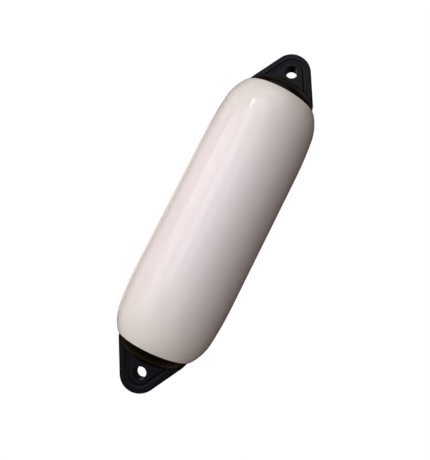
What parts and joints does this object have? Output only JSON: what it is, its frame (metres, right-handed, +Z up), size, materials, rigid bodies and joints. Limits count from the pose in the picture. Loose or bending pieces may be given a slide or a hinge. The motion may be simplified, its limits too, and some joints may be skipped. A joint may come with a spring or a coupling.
{
  "type": "boat fender",
  "caption": "Cylindrical boat fender: a hollow white shell with rounded shoulders, closed by black moulded domes with rope-eye plates.",
  "frame": {"origin": "centre of the upper rope hole, midway between the two faces of its eye plate", "axes": "+Z up along the fender's axis, towards the upper eye; Y along the rope holes, square to both eye plates, with the inflation valve on the +Y side; X across the plates"},
  "size_m": [0.15, 0.15, 0.5468],
  "materials": {
    "shell_white": "glossy flexible PVC, warm white",
    "end_black": "semi-gloss flexible PVC, navy black",
    "valve_black": "satin flexible PVC",
    "washer_rubber": "matt",
    "valve_screw": "satin nylon"
  },
  "bodies": {
    "root": {"body_shell": "shell_white", "upper_end": "end_black", "lower_end": "end_black", "valve_bush": "valve_black", "valve_washer": "washer_rubber", "valve_screw": "valve_screw"}
  },
  "joints": []
}
